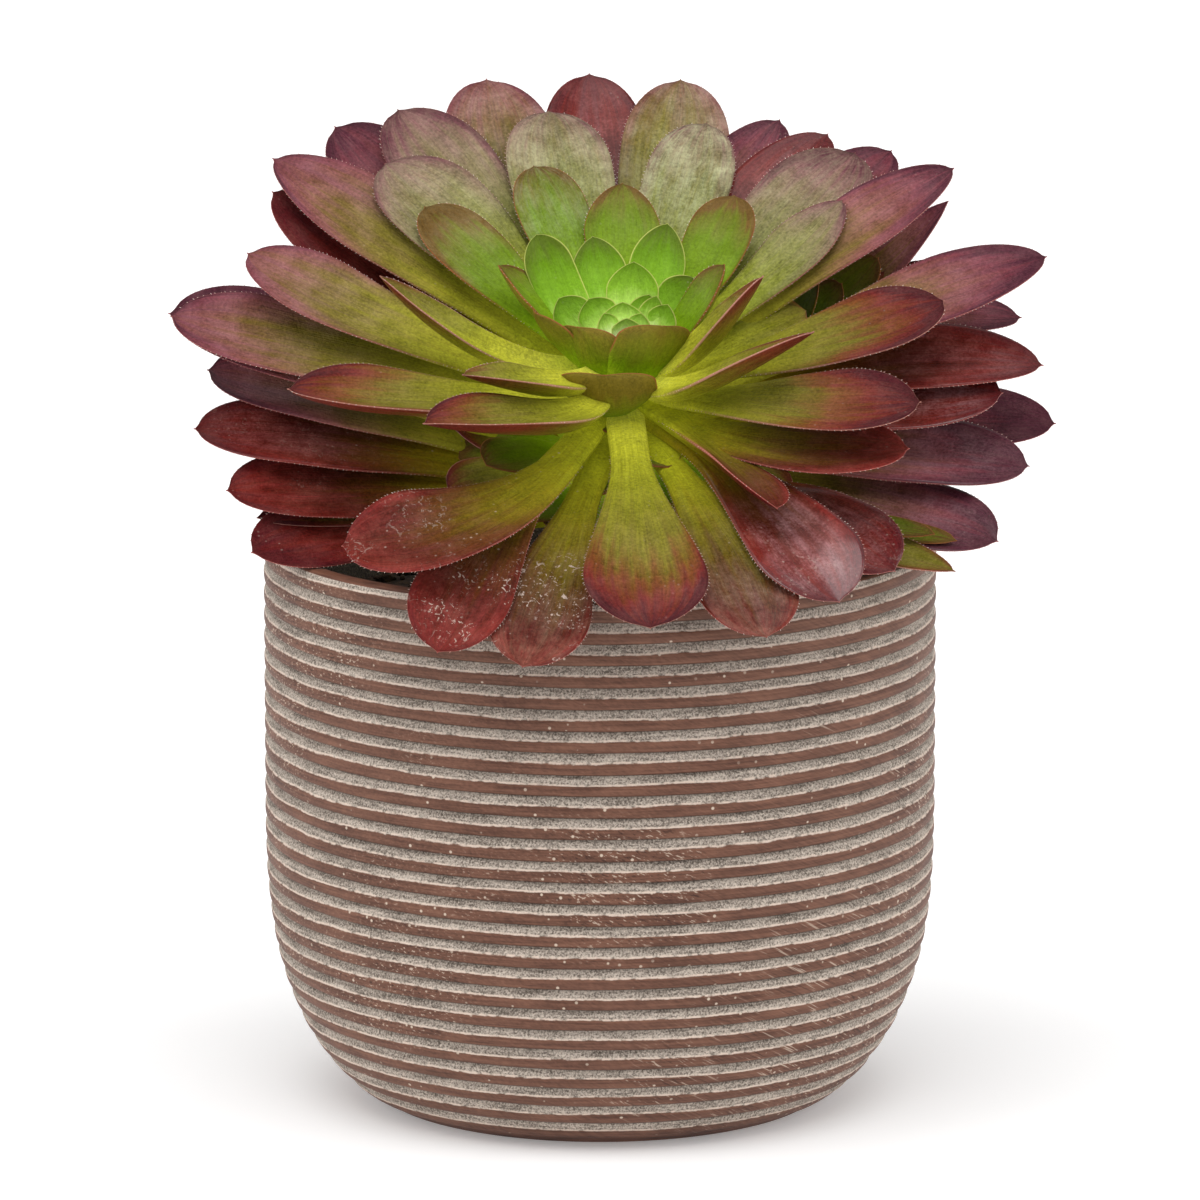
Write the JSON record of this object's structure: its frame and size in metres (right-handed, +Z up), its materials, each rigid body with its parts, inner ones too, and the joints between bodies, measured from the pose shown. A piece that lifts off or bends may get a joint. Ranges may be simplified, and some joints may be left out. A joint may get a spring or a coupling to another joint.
{
  "type": "potted succulent plant",
  "caption": "Rosette succulent with long spoon-shaped leaves, red at the tips and green at the heart, on a short stem in a round ribbed planter filled with soil.",
  "frame": {"origin": "middle of the pot's flat underside, on the surface that the pot stands on", "axes": "+Z up, -Y towards the front that the rosette leans to, +X to the right seen from the front"},
  "size_m": [0.235, 0.2021, 0.265],
  "materials": {
    "pot": "matte",
    "soil": "matte",
    "stem": "matte",
    "leaf_burgundy": "satin",
    "leaf_rose": "satin",
    "leaf_olive": "satin",
    "leaf_green": "satin",
    "leaf_bloom": "satin"
  },
  "bodies": {
    "root": {"pot": "pot", "soil": "soil", "stem": "stem", "bud": "leaf_green", "side_shoot_right": "leaf_green", "side_shoot_left": "leaf_green", "leaf_01": "leaf_burgundy", "leaf_02": "leaf_olive", "leaf_03": "leaf_burgundy", "leaf_04": "leaf_burgundy", "leaf_05": "leaf_burgundy", "leaf_06": "leaf_burgundy", "leaf_07": "leaf_burgundy", "leaf_08": "leaf_burgundy", "leaf_09": "leaf_burgundy", "leaf_10": "leaf_burgundy", "leaf_11": "leaf_burgundy", "leaf_12": "leaf_rose", "leaf_13": "leaf_burgundy", "leaf_14": "leaf_olive", "leaf_15": "leaf_burgundy", "leaf_16": "leaf_burgundy", "leaf_17": "leaf_burgundy", "leaf_18": "leaf_rose", "leaf_19": "leaf_rose", "leaf_20": "leaf_burgundy", "leaf_21": "leaf_rose", "leaf_22": "leaf_rose", "leaf_23": "leaf_burgundy", "leaf_24": "leaf_rose", "leaf_25": "leaf_rose", "leaf_26": "leaf_burgundy", "leaf_27": "leaf_rose", "leaf_28": "leaf_burgundy", "leaf_29": "leaf_rose", "leaf_30": "leaf_rose", "leaf_31": "leaf_rose", "leaf_32": "leaf_burgundy", "leaf_33": "leaf_burgundy", "leaf_34": "leaf_olive", "leaf_35": "leaf_olive", "leaf_36": "leaf_olive", "leaf_37": "leaf_rose", "leaf_38": "leaf_bloom", "leaf_39": "leaf_bloom", "leaf_40": "leaf_bloom", "leaf_41": "leaf_bloom", "leaf_42": "leaf_bloom", "leaf_43": "leaf_olive", "leaf_44": "leaf_olive", "leaf_45": "leaf_green", "leaf_46": "leaf_olive", "leaf_47": "leaf_olive", "leaf_48": "leaf_olive", "leaf_49": "leaf_olive", "leaf_50": "leaf_green", "leaf_51": "leaf_green", "leaf_52": "leaf_green", "leaf_53": "leaf_green", "leaf_54": "leaf_green"}
  },
  "joints": []
}
